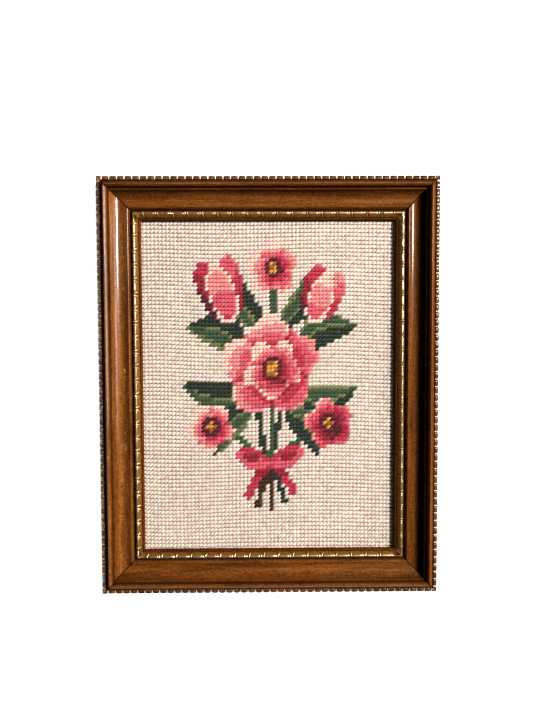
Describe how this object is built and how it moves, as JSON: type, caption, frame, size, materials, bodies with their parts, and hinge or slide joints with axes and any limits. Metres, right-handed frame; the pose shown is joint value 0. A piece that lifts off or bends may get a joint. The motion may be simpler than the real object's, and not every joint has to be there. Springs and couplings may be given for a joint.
{
  "type": "needlepoint canvas panel in a picture frame",
  "caption": "Flat wool needlepoint canvas panel held behind the sight lip of a mitred, varnished wood picture frame with a beaded outer edge and gilt inner beading.",
  "frame": {"origin": "centre of the frame's outline, on the flat back face that the panel lies on", "axes": "+X to the picture's right, +Y to the picture's top, +Z out of the picture's face"},
  "size_m": [0.254, 0.3128, 0.0213],
  "materials": {
    "yarn": "wool tent stitch on cotton canvas",
    "wood": "glossy brown varnish, lightly scuffed",
    "carved_wood": "glossy brown varnish, worn on the crests",
    "gilt": "worn gilt over brown"
  },
  "bodies": {
    "root": {"canvas_panel": "yarn", "frame_bottom": "wood", "frame_right": "wood", "frame_top": "wood", "frame_left": "wood", "outer_beading_bottom": "carved_wood", "outer_beading_right": "carved_wood", "outer_beading_top": "carved_wood", "outer_beading_left": "carved_wood", "gilt_beading_bottom": "gilt", "gilt_beading_right": "gilt", "gilt_beading_top": "gilt", "gilt_beading_left": "gilt"}
  },
  "joints": []
}
